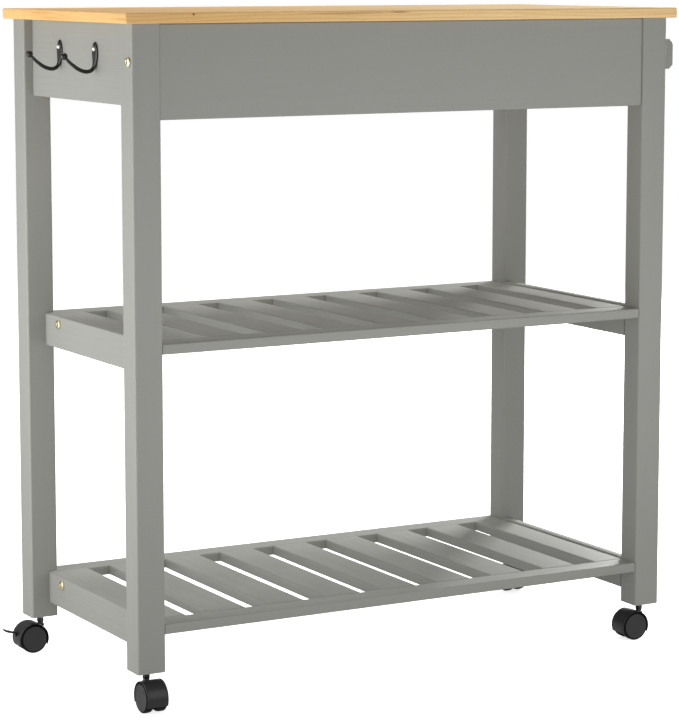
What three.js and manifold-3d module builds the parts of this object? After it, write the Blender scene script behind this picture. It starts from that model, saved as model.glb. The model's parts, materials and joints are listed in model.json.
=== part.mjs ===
// Kitchen island cart: a wooden worktop on four painted legs, two slatted shelves,
// a towel rail on the right end, two hooks on the left end and four twin-wheel casters.
// Millimetres. +X runs along the worktop to the towel rail, -Y is the plain long side, +Z is up.
import * as THREE from "three";
import { mergeVertices } from "three/addons/utils/BufferGeometryUtils.js";
import Module from "manifold-3d";

const wasm = await Module();
wasm.setup();

// ---- Driving dimensions -----------------------------------------------------------------

const HEIGHT = 900; // floor to the top of the worktop
const LEGS_X = 820; // over the legs' outside faces
const LEGS_Y = 389;
const LEG_X = 39.6; // one leg's section
const LEG_Y = 37.6;
const LEG_BOTTOM = 51;
const GLUE_LINE = 0.1; // left between boards that butt together
const FIT_GAP = 0.3; // left round a tenon, dowel or pin in its hole

const TOP_THICKNESS = 14;
const TOP_OVERHANG_X = 12.5;
const TOP_OVERHANG_Y = 8.8;
const TOP_CORNER = 3;
const TOP_EDGE = 1.8;

const APRON_THICKNESS = 14;
const FRONT_APRON_HEIGHT = 121.5;
const REAR_APRON_HEIGHT = 104.5; // as the end aprons, since nothing of it shows below the left one
const LONG_APRON_SETBACK = 3.3; // behind the legs' faces
const END_APRON_HEIGHT = 104.5;
const END_APRON_SETBACK = 13;
const CLEAT = 20; // square battens that hold the worktop to the long aprons
const CLEAT_END_GAP = 12;

const SHELF_TOPS = { low: 114, mid: 479.5 };
const SHELF_THICKNESS = 14;
const SHELF_SETBACK = 1.5; // long rails behind the legs' faces
const SHELF_RAIL_WIDTH = 34;
const SLAT_COUNT = 9;
const SLAT_GAP = 33;
const END_SLAT_WIDTH = 47;
const TENON_WIDTH = 38;
const TENON_THICKNESS = 6;
const TENON_LENGTH = 10;
const END_RAIL_THICKNESS = 13.3;
const END_RAIL_HEIGHT = 45;
const END_RAIL_RISE = 2; // above the shelf's top face

const HOOK_Y = { front: -54.5, rear: 60.6 };
const HOOK_TOP = 860;
const HOOK_PLATE = { height: 37.5, width: 16.5, thickness: 2.5 };
const HOOK_ARM_RADIUS = 2.5;
const HOOK_BALL_RADIUS = 4.7;

const TOWEL_RAIL_Z = 833.2;
const BRACKET_Y = 123; // middle of each bracket's thickness
const BRACKET = { reach: 69.7, height: 42.4, thickness: 18, chamfer: 6 };
const TOWEL_BAR_RADIUS = 9;
const TOWEL_BAR_INSET = 21; // from the brackets' outer faces to the bar's axis
const TOWEL_BAR_SOCKET = 8;

const WHEEL_RADIUS = 20;
const WHEEL_WIDTH = 11.5;
const WHEEL_INNER = 3.75; // from the caster's middle plane to each wheel
const WHEEL_INNER_EDGE = 2.6; // chamfer of the tread next to the web
const TRAIL = 15; // from the swivel axis to the axle
const AXLE_RADIUS = 3;
const HOOD_INNER_RADIUS = 20.7;
const HOOD_OUTER_RADIUS = 22;
const HOOD_HALF_WIDTH = 15;
const HOOD_END_ANGLE = -25; // degrees from level; the same at the front and the back
const WEB_HALF_THICKNESS = 3.4;
const STEM_RADIUS = 4.2;
const STEM_PIN_RADIUS = 2.2;
const STEM_SHANK_RADIUS = 4;
const STEM_SHOULDER = 38.3;
const STEM_PIN_END = 26;
const STEM_IN_LEG = 35;
const BOSS_RADIUS = 5.5;

const LEVER_PIVOT = { x: TRAIL + 12.2, z: 25.8 };
const LEVER_SLOPE = 15.5; // degrees above level with the brake off
const LEVER_THROW = 16; // degrees down to the locked position
const LEVER_LENGTH = 29.5;
const LEVER_THICKNESS = 3;
const LEVER_BARREL_RADIUS = 2.2;
const LEVER_TONGUE_WIDTH = 5.4;
const LEVER_PEDAL = { width: 10, length: 11.5 };

const LEG_EDGE = 3; // edge roundings
const BOARD_EDGE = 2;
const EDGE_STEPS = 2; // straight steps in each rounded edge

// ---- Materials --------------------------------------------------------------------------

const finish = (color, roughness, metalness = 0) =>
  new THREE.MeshStandardMaterial({ color, roughness, metalness });
const PAINT = finish(0x9a9d96, 0.5);
const OILED_WOOD = finish(0xe3bd7c, 0.45);
const BARE_WOOD = finish(0xd9bf94, 0.7);
const BLACK_IRON = finish(0x151515, 0.35, 0.6);
const BLACK_PLASTIC = finish(0x262627, 0.4);
const GREY_PLASTIC = finish(0x3a3b3c, 0.5);
const DARK_STEEL = finish(0x2e3032, 0.3, 0.9);

// ---- Small tools ------------------------------------------------------------------------

const cart = new THREE.Group();

function addMesh(parent, name, geometry, material) {
  const mesh = new THREE.Mesh(geometry, material);
  mesh.name = name;
  parent.add(mesh);
  return mesh;
}

function toSolid(geometry) {
  const bare = geometry.clone();
  bare.deleteAttribute("normal");
  bare.deleteAttribute("uv");
  const merged = mergeVertices(bare, 1e-3);
  return new wasm.Manifold(
    new wasm.Mesh({
      numProp: 3,
      vertProperties: merged.attributes.position.array,
      triVerts: new Uint32Array(merged.index.array),
    }),
  );
}

function toGeometry(solid) {
  const { vertProperties, triVerts } = solid.getMesh();
  const indexed = new THREE.BufferGeometry()
    .setAttribute("position", new THREE.BufferAttribute(vertProperties, 3))
    .setIndex(new THREE.BufferAttribute(triVerts, 1));
  const geometry = indexed.toNonIndexed();
  geometry.computeVertexNormals();
  return geometry;
}

// Joins the geometries in `whole` and cuts those in `holes` out of them.
function combine(whole, holes = []) {
  const solid = whole.map(toSolid).reduce((a, b) => a.add(b));
  return toGeometry(holes.map(toSolid).reduce((a, b) => a.subtract(b), solid));
}

// The outline of a rectangle about the origin, its corners rounded in EDGE_STEPS steps.
function roundedRectangle(width, height, radius) {
  const points = [];
  const corners = [[1, 1], [-1, 1], [-1, -1], [1, -1]];
  corners.forEach(([sx, sy], quarter) => {
    for (let step = 0; step <= EDGE_STEPS; step++) {
      const angle = (quarter + step / EDGE_STEPS) * (Math.PI / 2);
      points.push(
        new THREE.Vector2(
          sx * (width / 2 - radius) + radius * Math.cos(angle),
          sy * (height / 2 - radius) + radius * Math.sin(angle),
        ),
      );
    }
  });
  return new THREE.Shape(points);
}

// The axes that an outline's x, its y and the extrusion take, by the extrusion's direction.
const AXES = {
  x: [[0, 1, 0], [0, 0, 1], [1, 0, 0]],
  y: [[1, 0, 0], [0, 0, 1], [0, -1, 0]],
  z: [[1, 0, 0], [0, 1, 0], [0, 0, 1]],
};

// A prism of `shape`, extruded `depth` along an axis, half to each side of the origin.
function prism(shape, depth, along) {
  const geometry = new THREE.ExtrudeGeometry(shape, { depth, bevelEnabled: false });
  geometry.translate(0, 0, -depth / 2);
  const basis = AXES[along].map((axis) => new THREE.Vector3(...axis));
  return geometry.applyMatrix4(new THREE.Matrix4().makeBasis(...basis));
}

// A board between two corners, with its edges rounded along its length.
function board(low, high, along, edge = BOARD_EDGE) {
  const size = new THREE.Vector3().subVectors(high, low);
  const middle = new THREE.Vector3().addVectors(low, high).multiplyScalar(0.5);
  const [width, height] = AXES[along].slice(0, 2).map((axis) => size.dot(new THREE.Vector3(...axis)));
  const outline = roundedRectangle(width, height, edge);
  return prism(outline, size[along], along).translate(middle.x, middle.y, middle.z);
}

function box(low, high) {
  const size = new THREE.Vector3().subVectors(high, low);
  const middle = new THREE.Vector3().addVectors(low, high).multiplyScalar(0.5);
  return new THREE.BoxGeometry(size.x, size.y, size.z).translate(middle.x, middle.y, middle.z);
}

// A cylinder along an axis, between two places on that axis.
function rod(radius, from, to, along, sides = 16) {
  const geometry = new THREE.CylinderGeometry(radius, radius, to - from, sides);
  geometry.translate(0, (from + to) / 2, 0);
  if (along === "z") geometry.rotateX(Math.PI / 2);
  if (along === "x") geometry.rotateZ(-Math.PI / 2);
  return geometry;
}

const at = (x, y, z) => new THREE.Vector3(x, y, z);
const degrees = THREE.MathUtils.degToRad;
const onCircle = (radius, angle) =>
  new THREE.Vector2(radius * Math.cos(angle), radius * Math.sin(angle));

// ---- Legs -------------------------------------------------------------------------------

const topUnderside = HEIGHT - TOP_THICKNESS;
const legInnerX = LEGS_X / 2 - LEG_X;
const legInnerY = LEGS_Y / 2 - LEG_Y;
const legCentreX = LEGS_X / 2 - LEG_X / 2;
const legCentreY = LEGS_Y / 2 - LEG_Y / 2;
const CORNERS = {
  front_left: { x: -legCentreX, y: -legCentreY },
  front_right: { x: legCentreX, y: -legCentreY },
  rear_left: { x: -legCentreX, y: legCentreY },
  rear_right: { x: legCentreX, y: legCentreY },
};

// A square post with a blind hole up its lower end for the caster's stem.
function legGeometry() {
  const half = at(LEG_X / 2, LEG_Y / 2, 0);
  const post = board(
    at(-half.x, -half.y, LEG_BOTTOM),
    at(half.x, half.y, topUnderside - GLUE_LINE),
    "z",
    LEG_EDGE,
  );
  const holeEnd = LEG_BOTTOM + STEM_IN_LEG + FIT_GAP;
  return combine([post], [rod(STEM_SHANK_RADIUS + FIT_GAP, LEG_BOTTOM - 1, holeEnd, "z")]);
}

for (const [corner, { x, y }] of Object.entries(CORNERS)) {
  addMesh(cart, `leg_${corner}`, legGeometry(), PAINT).position.set(x, y, 0);
}

// ---- Worktop, aprons and cleats ---------------------------------------------------------

function worktopGeometry() {
  const width = LEGS_X + 2 * TOP_OVERHANG_X - 2 * TOP_EDGE;
  const depth = LEGS_Y + 2 * TOP_OVERHANG_Y - 2 * TOP_EDGE;
  const outline = roundedRectangle(width, depth, TOP_CORNER);
  const panel = new THREE.ExtrudeGeometry(outline, {
    depth: TOP_THICKNESS - 2 * TOP_EDGE,
    bevelSize: TOP_EDGE,
    bevelThickness: TOP_EDGE,
    bevelSegments: 3,
  });
  return panel.translate(0, 0, topUnderside + TOP_EDGE);
}
addMesh(cart, "worktop", worktopGeometry(), OILED_WOOD);

const apronTop = topUnderside - GLUE_LINE;
const longApronFace = LEGS_Y / 2 - LONG_APRON_SETBACK;
const endApronFace = LEGS_X / 2 - END_APRON_SETBACK;

// The pieces of the long sides: `side` is -1 for the front and 1 for the rear.
function addLongSide(name, side, apronHeight) {
  const apron = board(
    at(-legInnerX + GLUE_LINE, longApronFace - APRON_THICKNESS, topUnderside - apronHeight),
    at(legInnerX - GLUE_LINE, longApronFace, apronTop),
    "x",
  );
  const cleatOuter = longApronFace - APRON_THICKNESS - GLUE_LINE;
  const cleat = board(
    at(-legInnerX + CLEAT_END_GAP, cleatOuter - CLEAT, apronTop - CLEAT),
    at(legInnerX - CLEAT_END_GAP, cleatOuter, apronTop),
    "x",
    1,
  );
  const turn = side < 0 ? Math.PI : 0;
  addMesh(cart, `apron_${name}`, apron.rotateZ(turn), PAINT);
  addMesh(cart, `worktop_cleat_${name}`, cleat.rotateZ(turn), BARE_WOOD);
}
addLongSide("front", -1, FRONT_APRON_HEIGHT);
addLongSide("rear", 1, REAR_APRON_HEIGHT);

function endApronGeometry() {
  return board(
    at(endApronFace - APRON_THICKNESS, -legInnerY + GLUE_LINE, topUnderside - END_APRON_HEIGHT),
    at(endApronFace, legInnerY - GLUE_LINE, apronTop),
    "y",
  );
}
addMesh(cart, "apron_right", endApronGeometry(), PAINT);
addMesh(cart, "apron_left", endApronGeometry().rotateZ(Math.PI), PAINT);

// ---- Slatted shelves --------------------------------------------------------------------

const shelfLength = 2 * legInnerX;
const slatWidth =
  (shelfLength - 2 * END_SLAT_WIDTH - (SLAT_COUNT - 1) * SLAT_GAP) / (SLAT_COUNT - 2);
const shelfRailFace = LEGS_Y / 2 - SHELF_SETBACK;
const shelfRailInner = shelfRailFace - SHELF_RAIL_WIDTH;

// Each slat's lower and upper X, from the left end of the shelf.
function slatSpans() {
  const spans = [];
  let x = -legInnerX;
  for (let i = 0; i < SLAT_COUNT; i++) {
    const isEnd = i === 0 || i === SLAT_COUNT - 1;
    const width = isEnd ? END_SLAT_WIDTH : slatWidth;
    spans.push([x, x + width]);
    x += width + SLAT_GAP;
  }
  return spans;
}

// The block that joins a slat to both long rails, `grow` larger all round for the mortises.
function tenonBlock([from, to], top, grow) {
  const middle = (from + to) / 2;
  const z = top - SHELF_THICKNESS / 2;
  const reach = shelfRailInner + TENON_LENGTH + grow;
  return box(
    at(middle - TENON_WIDTH / 2 - grow, -reach, z - TENON_THICKNESS / 2 - grow),
    at(middle + TENON_WIDTH / 2 + grow, reach, z + TENON_THICKNESS / 2 + grow),
  );
}

function slatGeometry([from, to], top) {
  const end = shelfRailInner - GLUE_LINE;
  const plank = board(
    at(from + GLUE_LINE, -end, top - SHELF_THICKNESS),
    at(to - GLUE_LINE, end, top),
    "y",
  );
  return combine([plank, tenonBlock([from, to], top, 0)]);
}

function longRailGeometry(side, top) {
  const low = at(-legInnerX + GLUE_LINE, shelfRailInner, top - SHELF_THICKNESS);
  const high = at(legInnerX - GLUE_LINE, shelfRailFace, top);
  const rail = board(low, high, "x");
  if (side < 0) rail.rotateZ(Math.PI);
  return combine([rail], slatSpans().map((span) => tenonBlock(span, top, FIT_GAP)));
}

function endRailGeometry(top) {
  const railTop = top + END_RAIL_RISE;
  return board(
    at(legInnerX + GLUE_LINE, -legInnerY + GLUE_LINE, railTop - END_RAIL_HEIGHT),
    at(legInnerX + END_RAIL_THICKNESS, legInnerY - GLUE_LINE, railTop),
    "y",
  );
}

for (const [level, top] of Object.entries(SHELF_TOPS)) {
  addMesh(cart, `${level}_shelf_rail_front`, longRailGeometry(-1, top), PAINT);
  addMesh(cart, `${level}_shelf_rail_rear`, longRailGeometry(1, top), PAINT);
  slatSpans().forEach((span, i) => {
    addMesh(cart, `${level}_shelf_slat_${i + 1}`, slatGeometry(span, top), PAINT);
  });
  addMesh(cart, `${level}_end_rail_right`, endRailGeometry(top), PAINT);
  addMesh(cart, `${level}_end_rail_left`, endRailGeometry(top).rotateZ(Math.PI), PAINT);
}

// ---- Hooks on the left end --------------------------------------------------------------

// A leaf-shaped plate against the apron, and one arm that dips and rises to a ball.
// Local +X points out from the apron; z is measured from the plate's top.
function hookGeometry() {
  const { height, width, thickness } = HOOK_PLATE;
  const leafSides = 20;
  const leaf = Array.from({ length: leafSides }, (_, i) => {
    const angle = (2 * Math.PI * i) / leafSides;
    return new THREE.Vector2((width / 2) * Math.cos(angle), (height / 2) * (Math.sin(angle) - 1));
  });
  const plate = prism(new THREE.Shape(leaf), thickness, "x");
  plate.translate(thickness / 2, 0, 0);

  const arm = new THREE.CatmullRomCurve3([
    at(HOOK_ARM_RADIUS + 0.4, 0, -29),
    at(5, 0, -35.5),
    at(13, 0, -38.2),
    at(24, 0, -35.2),
    at(35, 0, -27.5),
    at(44, 0, -19),
  ]);
  const armSides = 8;
  const section = new THREE.Shape();
  for (let i = 0; i < armSides; i++) {
    const point = onCircle(HOOK_ARM_RADIUS, (2 * Math.PI * i) / armSides);
    if (i === 0) section.moveTo(point.x, point.y);
    else section.lineTo(point.x, point.y);
  }
  const bar = new THREE.ExtrudeGeometry(section, { extrudePath: arm, steps: 14 });
  const ball = new THREE.SphereGeometry(HOOK_BALL_RADIUS, 12, 8).translate(44.6, 0, -18);
  return combine([plate, bar, ball]);
}

for (const [place, y] of Object.entries(HOOK_Y)) {
  const hook = addMesh(cart, `hook_${place}`, hookGeometry(), BLACK_IRON);
  hook.rotation.z = Math.PI;
  hook.position.set(-endApronFace - GLUE_LINE, y, HOOK_TOP);
}

// ---- Towel rail on the right end --------------------------------------------------------

const barX = endApronFace + BRACKET.reach - TOWEL_BAR_INSET;
const barHalfLength = BRACKET_Y - BRACKET.thickness / 2 + TOWEL_BAR_SOCKET;

function bracketGeometry() {
  const { reach, height, thickness, chamfer } = BRACKET;
  const outline = new THREE.Shape([
    new THREE.Vector2(GLUE_LINE, -height / 2),
    new THREE.Vector2(reach - chamfer, -height / 2),
    new THREE.Vector2(reach, -height / 2 + chamfer),
    new THREE.Vector2(reach, height / 2 - chamfer),
    new THREE.Vector2(reach - chamfer, height / 2),
    new THREE.Vector2(GLUE_LINE, height / 2),
  ]);
  return prism(outline, thickness, "y").translate(endApronFace, BRACKET_Y, TOWEL_RAIL_Z);
}

// The bar's ends sit in blind sockets in the brackets' inner faces.
const barSocket = rod(
  TOWEL_BAR_RADIUS + FIT_GAP,
  -barHalfLength - FIT_GAP,
  barHalfLength + FIT_GAP,
  "y",
  28,
).translate(barX, 0, TOWEL_RAIL_Z);
const rearBracket = bracketGeometry();
const frontBracket = bracketGeometry().translate(0, -2 * BRACKET_Y, 0);
addMesh(cart, "towel_bracket_rear", combine([rearBracket], [barSocket]), PAINT);
addMesh(cart, "towel_bracket_front", combine([frontBracket], [barSocket]), PAINT);
const towelBar = rod(TOWEL_BAR_RADIUS, -barHalfLength, barHalfLength, "y", 28);
addMesh(cart, "towel_bar", towelBar.translate(barX, 0, TOWEL_RAIL_Z), PAINT);

// ---- Casters ----------------------------------------------------------------------------
// In a caster's own frame the swivel axis is Z, the axle is along Y, and the wheels trail to +X.

function stemGeometry() {
  const top = LEG_BOTTOM + STEM_IN_LEG;
  const profile = [
    [0, STEM_PIN_END],
    [STEM_PIN_RADIUS, STEM_PIN_END],
    [STEM_PIN_RADIUS, STEM_SHOULDER],
    [STEM_RADIUS, STEM_SHOULDER],
    [STEM_RADIUS, LEG_BOTTOM - GLUE_LINE],
    [STEM_SHANK_RADIUS, LEG_BOTTOM - GLUE_LINE],
    [STEM_SHANK_RADIUS, top - 1.5],
    [STEM_SHANK_RADIUS - 1.5, top],
    [0, top],
  ];
  const points = profile.map(([r, z]) => new THREE.Vector2(r, z));
  return new THREE.LatheGeometry(points, 16).rotateX(Math.PI / 2);
}

// The moulded cover over both treads, the web between the wheels that carries it,
// the boss and seat for the stem, and the axle.
function hoodGeometry(hasBrake) {
  const arcSteps = 24;
  const from = degrees(HOOD_END_ANGLE);
  const to = Math.PI - from;
  const arc = (radius) =>
    Array.from({ length: arcSteps + 1 }, (_, i) =>
      onCircle(radius, from + ((to - from) * i) / arcSteps),
    );
  const cover = [...arc(HOOD_OUTER_RADIUS), ...arc(HOOD_INNER_RADIUS).reverse()];
  const overlap = (HOOD_INNER_RADIUS + HOOD_OUTER_RADIUS) / 2;
  const pieces = [
    prism(new THREE.Shape(cover), 2 * HOOD_HALF_WIDTH, "y"),
    prism(new THREE.Shape(arc(overlap)), 2 * WEB_HALF_THICKNESS, "y"),
  ];
  for (const piece of pieces) piece.translate(TRAIL, 0, WHEEL_RADIUS);
  const axleEnd = WHEEL_INNER + 7.8;
  const axle = rod(AXLE_RADIUS, -axleEnd, axleEnd, "y").translate(TRAIL, 0, WHEEL_RADIUS);
  const seat = STEM_SHOULDER - FIT_GAP;
  pieces.push(axle, combine([rod(BOSS_RADIUS, STEM_PIN_END, seat, "z")], wheelWells()));
  const holes = [
    rod(STEM_PIN_RADIUS + FIT_GAP, STEM_PIN_END - FIT_GAP, seat + 1, "z", 16),
    rod(STEM_RADIUS + FIT_GAP, seat, LEG_BOTTOM, "z"),
  ];
  if (hasBrake) holes.push(leverSeat(), leverSlot());
  return combine(pieces, holes);
}

// The room for the wheels on both sides of the web.
function wheelWells() {
  return [-1, 1].map((side) => {
    const ends = [side * WEB_HALF_THICKNESS, side * HOOD_HALF_WIDTH];
    const well = rod(HOOD_INNER_RADIUS, Math.min(...ends), Math.max(...ends), "y", 32);
    return well.translate(TRAIL, 0, WHEEL_RADIUS);
  });
}

// The round seat in the web for the lever's barrel.
function leverSeat() {
  const seat = rod(LEVER_BARREL_RADIUS + FIT_GAP, -5, 5, "y", 16);
  return seat.translate(LEVER_PIVOT.x, 0, LEVER_PIVOT.z);
}

// The opening that the lever swings in, from its pivot out through the cover.
function leverSlot() {
  const reach = 14;
  const margin = LEVER_THICKNESS / 2 + 2 * FIT_GAP;
  const top = onCircle(reach, degrees(LEVER_SLOPE));
  const bottom = onCircle(reach, degrees(LEVER_SLOPE - LEVER_THROW));
  const upAcross = onCircle(margin, degrees(LEVER_SLOPE + 90));
  const downAcross = onCircle(margin, degrees(LEVER_SLOPE - LEVER_THROW - 90));
  const outline = new THREE.Shape([
    upAcross,
    new THREE.Vector2(-LEVER_BARREL_RADIUS, 0),
    downAcross,
    bottom.add(downAcross),
    top.add(upAcross),
  ]);
  const slot = prism(outline, LEVER_TONGUE_WIDTH + 1.4, "y");
  return slot.translate(LEVER_PIVOT.x, 0, LEVER_PIVOT.z);
}

// A barrel in the web, a tongue out through the cover and a wider pedal with a raised tip.
function leverGeometry() {
  const half = LEVER_THICKNESS / 2;
  const pedalStart = LEVER_LENGTH - LEVER_PEDAL.length;
  const tongue = box(
    at(0, -LEVER_TONGUE_WIDTH / 2, -half),
    at(pedalStart + 1, LEVER_TONGUE_WIDTH / 2, half),
  );
  const pedalOutline = roundedRectangle(LEVER_PEDAL.length, LEVER_PEDAL.width, 2);
  const pedal = prism(pedalOutline, LEVER_THICKNESS, "z");
  pedal.translate(pedalStart + LEVER_PEDAL.length / 2, 0, 0);
  const tip = rod(half, -LEVER_PEDAL.width / 2 + 1, LEVER_PEDAL.width / 2 - 1, "y", 12);
  tip.translate(LEVER_LENGTH - 2, 0, 1.2);
  const barrelHalf = LEVER_TONGUE_WIDTH / 2;
  const barrel = rod(LEVER_BARREL_RADIUS, -barrelHalf, barrelHalf, "y", 16);
  const lever = combine([tongue, pedal, tip, barrel]);
  lever.rotateY(-degrees(LEVER_SLOPE));
  return lever.translate(LEVER_PIVOT.x, 0, LEVER_PIVOT.z);
}

// A cup-shaped wheel, closed on its outer face, with a hub that runs on the axle.
// The profile is (radius, distance from the wheel's inner face).
function wheelGeometry() {
  const w = WHEEL_WIDTH;
  const r = WHEEL_RADIUS;
  const bore = AXLE_RADIUS + FIT_GAP;
  const profile = [
    [0, w - 1],
    [15.5, w - 1],
    [16.3, w],
    [r - 1.2, w],
    [r, w - 1.2],
    [r, WHEEL_INNER_EDGE],
    [r - WHEEL_INNER_EDGE, 0],
    [17, 0],
    [17, w - 4],
    [6, w - 4],
    [6, 0.3],
    [bore, 0.3],
    [bore, 8.3],
    [0, 8.3],
  ];
  const points = profile.reverse().map(([radius, y]) => new THREE.Vector2(radius, y));
  return new THREE.LatheGeometry(points, 24).translate(0, WHEEL_INNER, 0);
}

function addCaster(corner, heading, hasBrake) {
  const caster = new THREE.Group();
  const { x, y } = CORNERS[corner];
  caster.position.set(x, y, 0);
  caster.rotation.z = heading;
  cart.add(caster);
  addMesh(caster, `caster_stem_${corner}`, stemGeometry(), DARK_STEEL);
  addMesh(caster, `caster_hood_${corner}`, hoodGeometry(hasBrake), BLACK_PLASTIC);
  for (const [side, turn] of [["a", 0], ["b", Math.PI]]) {
    const wheel = wheelGeometry().rotateZ(turn);
    const mesh = addMesh(caster, `caster_wheel_${corner}_${side}`, wheel, GREY_PLASTIC);
    mesh.position.set(TRAIL, 0, WHEEL_RADIUS);
  }
  if (hasBrake) addMesh(caster, `brake_lever_${corner}`, leverGeometry(), BLACK_PLASTIC);
}

const TRAILS_LEFT = Math.PI;
const TRAILS_FORWARD = -Math.PI / 2;
addCaster("front_left", TRAILS_FORWARD, false);
addCaster("front_right", TRAILS_LEFT, false);
addCaster("rear_left", TRAILS_LEFT, true);
addCaster("rear_right", TRAILS_FORWARD, true);

// ---- Origin: on the floor, under the middle of the whole cart's outline ------------------

const outline = new THREE.Box3().setFromObject(cart);
const middle = outline.getCenter(new THREE.Vector3());
cart.position.set(-middle.x, -middle.y, -outline.min.z);

export default cart;
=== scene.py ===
"""Kitchen island cart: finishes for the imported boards, finer casters, hooks and fittings,
and a plain studio round them. Lengths in this file are millimetres until a mesh is made."""

import json
import math

import bmesh
import bpy
from mathutils import Matrix, Vector


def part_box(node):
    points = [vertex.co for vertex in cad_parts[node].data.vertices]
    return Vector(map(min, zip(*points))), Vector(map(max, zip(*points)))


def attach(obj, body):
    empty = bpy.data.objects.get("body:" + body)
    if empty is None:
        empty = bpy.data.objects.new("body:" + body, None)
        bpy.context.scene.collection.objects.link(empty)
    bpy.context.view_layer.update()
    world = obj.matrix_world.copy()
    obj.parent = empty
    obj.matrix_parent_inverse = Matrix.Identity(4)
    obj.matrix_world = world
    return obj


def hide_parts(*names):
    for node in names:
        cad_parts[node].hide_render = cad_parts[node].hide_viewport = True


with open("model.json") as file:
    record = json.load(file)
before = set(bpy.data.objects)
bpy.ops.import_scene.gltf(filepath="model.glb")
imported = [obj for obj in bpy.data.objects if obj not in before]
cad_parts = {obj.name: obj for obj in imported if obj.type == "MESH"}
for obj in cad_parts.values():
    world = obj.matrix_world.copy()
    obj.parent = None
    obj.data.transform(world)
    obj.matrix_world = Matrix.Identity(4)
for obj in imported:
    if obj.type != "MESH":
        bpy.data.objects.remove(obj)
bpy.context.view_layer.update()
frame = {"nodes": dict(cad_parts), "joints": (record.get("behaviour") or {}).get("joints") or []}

MM = 0.001
CORNERS = ("front_left", "front_right", "rear_left", "rear_right")

# ---- Shapes -------------------------------------------------------------------------------
# A shape is a list of points in millimetres and a list of faces, and is always closed.


def arc(centre, radius, start, end, steps=6):
    """Points on an arc, from one angle to another in degrees."""
    angles = [math.radians(start + (end - start) * i / steps) for i in range(steps + 1)]
    return [(centre[0] + radius * math.cos(a), centre[1] + radius * math.sin(a)) for a in angles]


def turned(profile, sides=64):
    """Turns (radius, height) pairs about Z. A radius may be a function of the angle.
    The profile starts and ends on the axis, or closes on itself."""
    points, rings = [], []
    for radius, height in profile:
        if radius == 0:
            rings.append([len(points)] * sides)
            points.append((0, 0, height))
            continue
        rings.append([len(points) + i for i in range(sides)])
        for i in range(sides):
            angle = 2 * math.pi * i / sides
            r = radius(angle) if callable(radius) else radius
            points.append((r * math.cos(angle), r * math.sin(angle), height))
    if profile[0][0] != 0:
        rings.append(rings[0])
    faces = []
    for low, high in zip(rings, rings[1:]):
        for i in range(sides):
            j = (i + 1) % sides
            # Where a ring has shrunk to a point on the axis, its corners are one and the same.
            faces.append(list(dict.fromkeys([low[i], low[j], high[j], high[i]])))
    return points, faces


def lofted(rings):
    """Joins rings of equally many points into one body with flat ends."""
    count = len(rings[0])
    points = [point for ring in rings for point in ring]
    faces = [list(range(count)), list(range(len(points) - count, len(points)))]
    for start in range(0, len(points) - count, count):
        for i in range(count):
            j = (i + 1) % count
            faces.append([start + i, start + j, start + count + j, start + count + i])
    return points, faces


def extruded(outline, low, high):
    """An outline of (x, z) pairs, taken from one Y to another."""
    return lofted([[(x, y, z) for x, z in outline] for y in (low, high)])


def placed(shape, matrix):
    """The shape, moved by a matrix in millimetres."""
    points, faces = shape
    return [tuple(matrix @ Vector(point)) for point in points], faces


def merged(shapes):
    """Several closed shapes in one."""
    points, faces = [], []
    for more_points, more_faces in shapes:
        faces += [[len(points) + i for i in face] for face in more_faces]
        points += more_points
    return points, faces


def smooth_knots(knots, steps):
    """Rows of numbers on a Catmull-Rom curve through the rows of `knots`."""
    rows = [knots[0], *knots, knots[-1]]
    result = []
    for a, b, c, d in zip(rows, rows[1:], rows[2:], rows[3:]):
        for i in range(steps):
            t = i / steps
            result.append([
                0.5 * (2 * q + (r - p) * t + (2 * p - 5 * q + 4 * r - s) * t**2
                       + (3 * q - p - 3 * r + s) * t**3)
                for p, q, r, s in zip(a, b, c, d)
            ])
    return result + [list(knots[-1])]


def to_mesh(name, shape):
    """A mesh in metres, smooth and with its normals outward."""
    points, faces = shape
    mesh = bpy.data.meshes.new(name)
    mesh.from_pydata([Vector(point) * MM for point in points], [], faces)
    work = bmesh.new()
    work.from_mesh(mesh)
    bmesh.ops.recalc_face_normals(work, faces=work.faces)
    work.to_mesh(mesh)
    work.free()
    mesh.polygons.foreach_set("use_smooth", [True] * len(mesh.polygons))
    return mesh


def cut(piece, shape):
    """Takes a shape, given in the piece's own coordinates, out of the piece."""
    cutter = bpy.data.objects.new("cutter", to_mesh("cutter", shape))
    cutter.matrix_world = piece.matrix_world
    bpy.context.scene.collection.objects.link(cutter)
    modifier = piece.modifiers.new("cut", "BOOLEAN")
    modifier.object = cutter
    modifier.solver = "EXACT"
    modifier.use_self = True
    bpy.context.view_layer.update()
    whole = piece.evaluated_get(bpy.context.evaluated_depsgraph_get())
    piece.data = bpy.data.meshes.new_from_object(whole)
    piece.modifiers.remove(modifier)
    bpy.data.objects.remove(cutter)


def soften(piece, width, limit=50):
    """Rounds the piece's sharp edges a little and keeps its flat faces flat in the shading."""
    bevel = piece.modifiers.new("edges", "BEVEL")
    bevel.width = width * MM
    bevel.segments = 2
    bevel.limit_method = "ANGLE"
    bevel.angle_limit = math.radians(limit)
    piece.modifiers.new("normals", "WEIGHTED_NORMAL")


def add_piece(name, shapes, place, material, body, stands_for=(), edge=0.0):
    """Makes a piece of closed shapes and gives it to a body. `place` is in millimetres, `stands_for`
    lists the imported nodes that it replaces, and `edge` is the width of its softened edges."""
    piece = bpy.data.objects.new(name, to_mesh(name, merged(shapes)))
    bpy.context.scene.collection.objects.link(piece)
    scaled = place.copy()
    scaled.translation *= MM
    piece.matrix_world = scaled
    piece.data.materials.append(material)
    if edge:
        soften(piece, edge)
    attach(piece, body)
    if stands_for:
        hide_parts(*stands_for)
    return piece


# ---- Materials ----------------------------------------------------------------------------


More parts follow.
